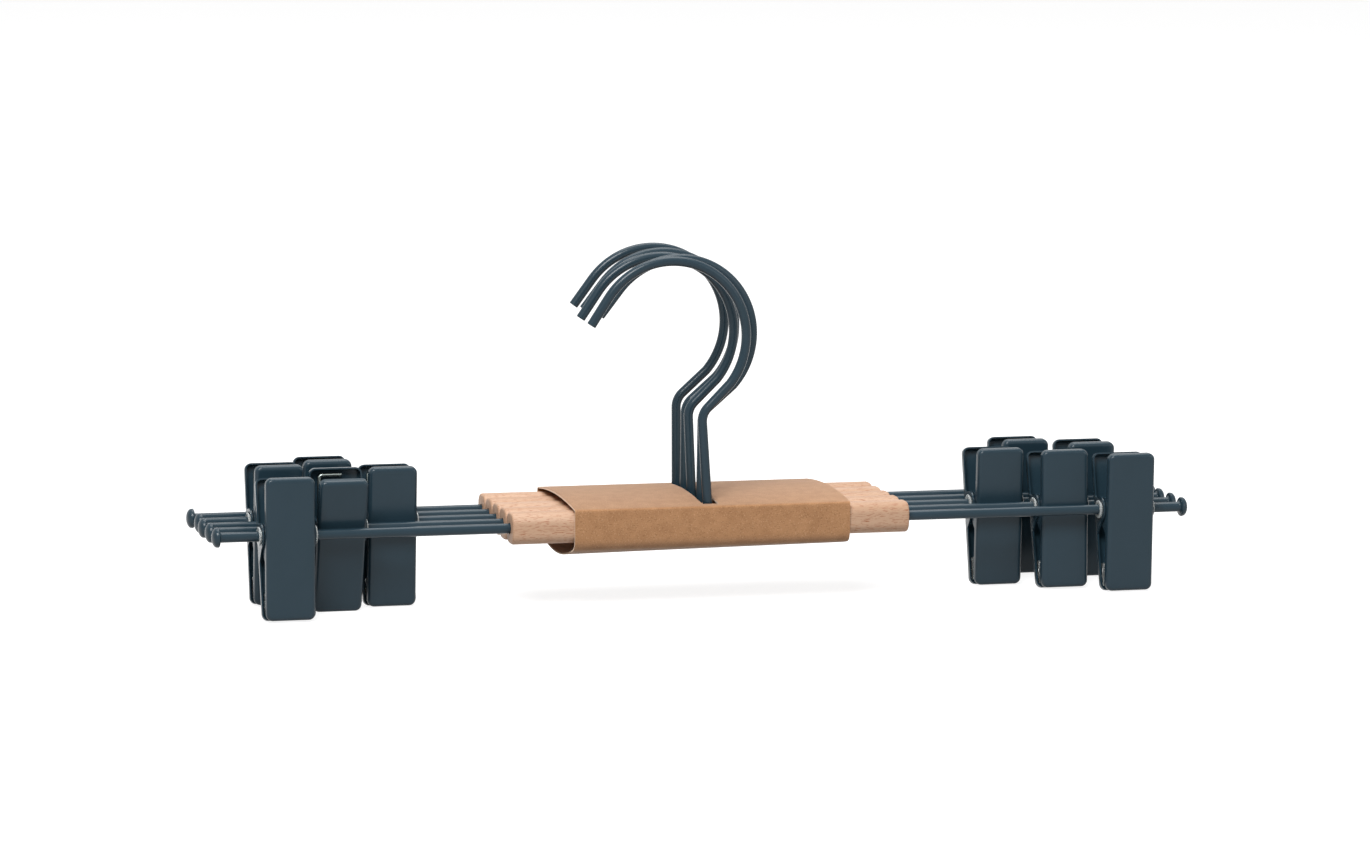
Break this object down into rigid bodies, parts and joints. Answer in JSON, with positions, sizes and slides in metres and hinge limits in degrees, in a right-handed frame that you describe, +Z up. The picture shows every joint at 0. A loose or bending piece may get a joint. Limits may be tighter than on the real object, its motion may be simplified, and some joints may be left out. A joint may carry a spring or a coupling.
{
  "type": "clip hanger pack",
  "caption": "Clip hangers with a round hook, a wooden bar and two sprung metal clips on a rod, packed side by side in one kraft board sleeve",
  "frame": {"origin": "middle of the ground under the whole bundle's box, hooks up", "axes": "+X along the hangers to the right, +Y from the front hanger to the back one, +Z up along the hooks' stems"},
  "size_m": [0.4012, 0.0712, 0.1392],
  "materials": {
    "beech": "pale, fine short flecks, satin",
    "coated_steel": "dark grey-blue coating, semi-gloss",
    "bright_wire": "bright nickel plate",
    "clear_plastic": "translucent, whitish",
    "kraft_board": "speckled paper board, matte, unprinted"
  },
  "bodies": {
    "pack": {"sleeve": "kraft_board", "wood_bar_1": "beech", "rod_1": "coated_steel", "wood_bar_2": "beech", "rod_2": "coated_steel", "wood_bar_3": "beech", "rod_3": "coated_steel", "wood_bar_4": "beech", "rod_4": "coated_steel", "wood_bar_5": "beech", "rod_5": "coated_steel"},
    "hook_1": {"hook_1": "coated_steel"},
    "hook_2": {"hook_2": "coated_steel"},
    "hook_3": {"hook_3": "coated_steel"},
    "hook_4": {"hook_4": "coated_steel"},
    "hook_5": {"hook_5": "coated_steel"},
    "bush_1_left": {"bush_1_left": "clear_plastic"},
    "front_jaw_1_left": {"front_jaw_1_left": "coated_steel", "spring_1_left": "bright_wire"},
    "rear_jaw_1_left": {"rear_jaw_1_left": "coated_steel"},
    "bush_1_right": {"bush_1_right": "clear_plastic"},
    "front_jaw_1_right": {"front_jaw_1_right": "coated_steel", "spring_1_right": "bright_wire"},
    "rear_jaw_1_right": {"rear_jaw_1_right": "coated_steel"},
    "bush_2_left": {"bush_2_left": "clear_plastic"},
    "front_jaw_2_left": {"front_jaw_2_left": "coated_steel", "spring_2_left": "bright_wire"},
    "rear_jaw_2_left": {"rear_jaw_2_left": "coated_steel"},
    "bush_2_right": {"bush_2_right": "clear_plastic"},
    "front_jaw_2_right": {"front_jaw_2_right": "coated_steel", "spring_2_right": "bright_wire"},
    "rear_jaw_2_right": {"rear_jaw_2_right": "coated_steel"},
    "bush_3_left": {"bush_3_left": "clear_plastic"},
    "front_jaw_3_left": {"front_jaw_3_left": "coated_steel", "spring_3_left": "bright_wire"},
    "rear_jaw_3_left": {"rear_jaw_3_left": "coated_steel"},
    "bush_3_right": {"bush_3_right": "clear_plastic"},
    "front_jaw_3_right": {"front_jaw_3_right": "coated_steel", "spring_3_right": "bright_wire"},
    "rear_jaw_3_right": {"rear_jaw_3_right": "coated_steel"},
    "bush_4_left": {"bush_4_left": "clear_plastic"},
    "front_jaw_4_left": {"front_jaw_4_left": "coated_steel", "spring_4_left": "bright_wire"},
    "rear_jaw_4_left": {"rear_jaw_4_left": "coated_steel"},
    "bush_4_right": {"bush_4_right": "clear_plastic"},
    "front_jaw_4_right": {"front_jaw_4_right": "coated_steel", "spring_4_right": "bright_wire"},
    "rear_jaw_4_right": {"rear_jaw_4_right": "coated_steel"},
    "bush_5_left": {"bush_5_left": "clear_plastic"},
    "front_jaw_5_left": {"front_jaw_5_left": "coated_steel", "spring_5_left": "bright_wire"},
    "rear_jaw_5_left": {"rear_jaw_5_left": "coated_steel"},
    "bush_5_right": {"bush_5_right": "clear_plastic"},
    "front_jaw_5_right": {"front_jaw_5_right": "coated_steel", "spring_5_right": "bright_wire"},
    "rear_jaw_5_right": {"rear_jaw_5_right": "coated_steel"}
  },
  "joints": [
    {"name": "hook_turn_1", "type": "hinge", "parent": "pack", "child": "hook_1", "pos_m": [-0.00005, -0.02689, 0.03306], "axis": [-0.0732, 0, 0.9973], "range_deg": [-10, 10]},
    {"name": "hook_turn_2", "type": "hinge", "parent": "pack", "child": "hook_2", "pos_m": [-0.00005, -0.01439, 0.03306], "axis": [0.0087, 0, 1], "range_deg": [-10, 10]},
    {"name": "hook_turn_3", "type": "hinge", "parent": "pack", "child": "hook_3", "pos_m": [-0.00005, -0.00189, 0.03306], "axis": [-0.0506, 0, 0.9987], "range_deg": [-10, 10]},
    {"name": "hook_turn_4", "type": "hinge", "parent": "pack", "child": "hook_4", "pos_m": [-0.00005, 0.01061, 0.03306], "axis": [0.0035, 0, 1], "range_deg": [-10, 10]},
    {"name": "hook_turn_5", "type": "hinge", "parent": "pack", "child": "hook_5", "pos_m": [-0.00005, 0.02311, 0.03306], "axis": [-0.0105, 0, 0.9999], "range_deg": [-10, 10]},
    {"name": "clip_slide_1_left", "type": "slide", "parent": "pack", "child": "bush_1_left", "axis": [-1, 0, 0], "range_m": [-0.001, 0.0141]},
    {"name": "clip_slide_1_right", "type": "slide", "parent": "pack", "child": "bush_1_right", "axis": [1, 0, 0], "range_m": [-0.002, 0.0107]},
    {"name": "clip_slide_2_left", "type": "slide", "parent": "pack", "child": "bush_2_left", "axis": [-1, 0, 0], "range_m": [-0.0014, 0.001]},
    {"name": "clip_slide_2_right", "type": "slide", "parent": "pack", "child": "bush_2_right", "axis": [1, 0, 0], "range_m": [-0.0019, 0.002]},
    {"name": "clip_slide_3_left", "type": "slide", "parent": "pack", "child": "bush_3_left", "axis": [-1, 0, 0], "range_m": [-0.0311, 0.0014]},
    {"name": "clip_slide_3_right", "type": "slide", "parent": "pack", "child": "bush_3_right", "axis": [1, 0, 0], "range_m": [-0.0336, 0.0019]},
    {"name": "clip_slide_4_left", "type": "slide", "parent": "pack", "child": "bush_4_left", "axis": [-1, 0, 0], "range_m": [-0.0002, 0.0169]},
    {"name": "clip_slide_4_right", "type": "slide", "parent": "pack", "child": "bush_4_right", "axis": [1, 0, 0], "range_m": [-0.0025, 0.015]},
    {"name": "clip_slide_5_left", "type": "slide", "parent": "pack", "child": "bush_5_left", "axis": [-1, 0, 0], "range_m": [-0.0523, 0.0002]},
    {"name": "clip_slide_5_right", "type": "slide", "parent": "pack", "child": "bush_5_right", "axis": [1, 0, 0], "range_m": [-0.0522, 0.0025]},
    {"name": "jaw_open_1_left", "type": "hinge", "parent": "front_jaw_1_left", "child": "rear_jaw_1_left", "pos_m": [-0.16966, -0.02689, 0.03306], "axis": [1, 0, 0], "range_deg": [0, 22], "stiffness_Nm_per_rad": 0.12, "springref_deg": -45.84, "deforming": ["spring_1_left"]},
    {"name": "jaw_open_1_right", "type": "hinge", "parent": "front_jaw_1_right", "child": "rear_jaw_1_right", "pos_m": [0.17418, -0.02689, 0.03306], "axis": [1, 0, 0], "range_deg": [0, 22], "stiffness_Nm_per_rad": 0.12, "springref_deg": -45.84, "deforming": ["spring_1_right"]},
    {"name": "jaw_open_2_left", "type": "hinge", "parent": "front_jaw_2_left", "child": "rear_jaw_2_left", "pos_m": [-0.14705, -0.01439, 0.03306], "axis": [1, 0, 0], "range_deg": [0, 22], "stiffness_Nm_per_rad": 0.12, "springref_deg": -45.84, "deforming": ["spring_2_left"]},
    {"name": "jaw_open_2_right", "type": "hinge", "parent": "front_jaw_2_right", "child": "rear_jaw_2_right", "pos_m": [0.15055, -0.01439, 0.03306], "axis": [1, 0, 0], "range_deg": [0, 22], "stiffness_Nm_per_rad": 0.12, "springref_deg": -45.84, "deforming": ["spring_2_right"]},
    {"name": "jaw_open_3_left", "type": "hinge", "parent": "front_jaw_3_left", "child": "rear_jaw_3_left", "pos_m": [-0.12404, -0.00189, 0.03306], "axis": [1, 0, 0], "range_deg": [0, 22], "stiffness_Nm_per_rad": 0.12, "springref_deg": -45.84, "deforming": ["spring_3_left"]},
    {"name": "jaw_open_3_right", "type": "hinge", "parent": "front_jaw_3_right", "child": "rear_jaw_3_right", "pos_m": [0.12697, -0.00189, 0.03306], "axis": [1, 0, 0], "range_deg": [0, 22], "stiffness_Nm_per_rad": 0.12, "springref_deg": -45.84, "deforming": ["spring_3_right"]},
    {"name": "jaw_open_4_left", "type": "hinge", "parent": "front_jaw_4_left", "child": "rear_jaw_4_left", "pos_m": [-0.16704, 0.01061, 0.03306], "axis": [1, 0, 0], "range_deg": [0, 22], "stiffness_Nm_per_rad": 0.12, "springref_deg": -45.84, "deforming": ["spring_4_left"]},
    {"name": "jaw_open_4_right", "type": "hinge", "parent": "front_jaw_4_right", "child": "rear_jaw_4_right", "pos_m": [0.16975, 0.01061, 0.03306], "axis": [1, 0, 0], "range_deg": [0, 22], "stiffness_Nm_per_rad": 0.12, "springref_deg": -45.84, "deforming": ["spring_4_right"]},
    {"name": "jaw_open_5_left", "type": "hinge", "parent": "front_jaw_5_left", "child": "rear_jaw_5_left", "pos_m": [-0.14524, 0.02311, 0.03306], "axis": [1, 0, 0], "range_deg": [0, 22], "stiffness_Nm_per_rad": 0.12, "springref_deg": -45.84, "deforming": ["spring_5_left"]},
    {"name": "jaw_open_5_right", "type": "hinge", "parent": "front_jaw_5_right", "child": "rear_jaw_5_right", "pos_m": [0.14565, 0.02311, 0.03306], "axis": [1, 0, 0], "range_deg": [0, 22], "stiffness_Nm_per_rad": 0.12, "springref_deg": -45.84, "deforming": ["spring_5_right"]},
    {"name": "clip_swing_1_left", "type": "hinge", "parent": "bush_1_left", "child": "front_jaw_1_left", "pos_m": [-0.16966, -0.02689, 0.03306], "axis": [1, 0, 0], "range_deg": [-5, 8]},
    {"name": "clip_swing_1_right", "type": "hinge", "parent": "bush_1_right", "child": "front_jaw_1_right", "pos_m": [0.17418, -0.02689, 0.03306], "axis": [1, 0, 0], "range_deg": [-5, 8]},
    {"name": "clip_swing_2_left", "type": "hinge", "parent": "bush_2_left", "child": "front_jaw_2_left", "pos_m": [-0.14705, -0.01439, 0.03306], "axis": [1, 0, 0], "range_deg": [-8, 5]},
    {"name": "clip_swing_2_right", "type": "hinge", "parent": "bush_2_right", "child": "front_jaw_2_right", "pos_m": [0.15055, -0.01439, 0.03306], "axis": [1, 0, 0], "range_deg": [-5, 8]},
    {"name": "clip_swing_3_left", "type": "hinge", "parent": "bush_3_left", "child": "front_jaw_3_left", "pos_m": [-0.12404, -0.00189, 0.03306], "axis": [1, 0, 0], "range_deg": [-5, 8]},
    {"name": "clip_swing_3_right", "type": "hinge", "parent": "bush_3_right", "child": "front_jaw_3_right", "pos_m": [0.12697, -0.00189, 0.03306], "axis": [1, 0, 0], "range_deg": [-5, 8]},
    {"name": "clip_swing_4_left", "type": "hinge", "parent": "bush_4_left", "child": "front_jaw_4_left", "pos_m": [-0.16704, 0.01061, 0.03306], "axis": [1, 0, 0], "range_deg": [-5, 8]},
    {"name": "clip_swing_4_right", "type": "hinge", "parent": "bush_4_right", "child": "front_jaw_4_right", "pos_m": [0.16975, 0.01061, 0.03306], "axis": [1, 0, 0], "range_deg": [-5, 6]},
    {"name": "clip_swing_5_left", "type": "hinge", "parent": "bush_5_left", "child": "front_jaw_5_left", "pos_m": [-0.14524, 0.02311, 0.03306], "axis": [1, 0, 0], "range_deg": [-5, 8]},
    {"name": "clip_swing_5_right", "type": "hinge", "parent": "bush_5_right", "child": "front_jaw_5_right", "pos_m": [0.14565, 0.02311, 0.03306], "axis": [1, 0, 0], "range_deg": [-5, 6]}
  ]
}
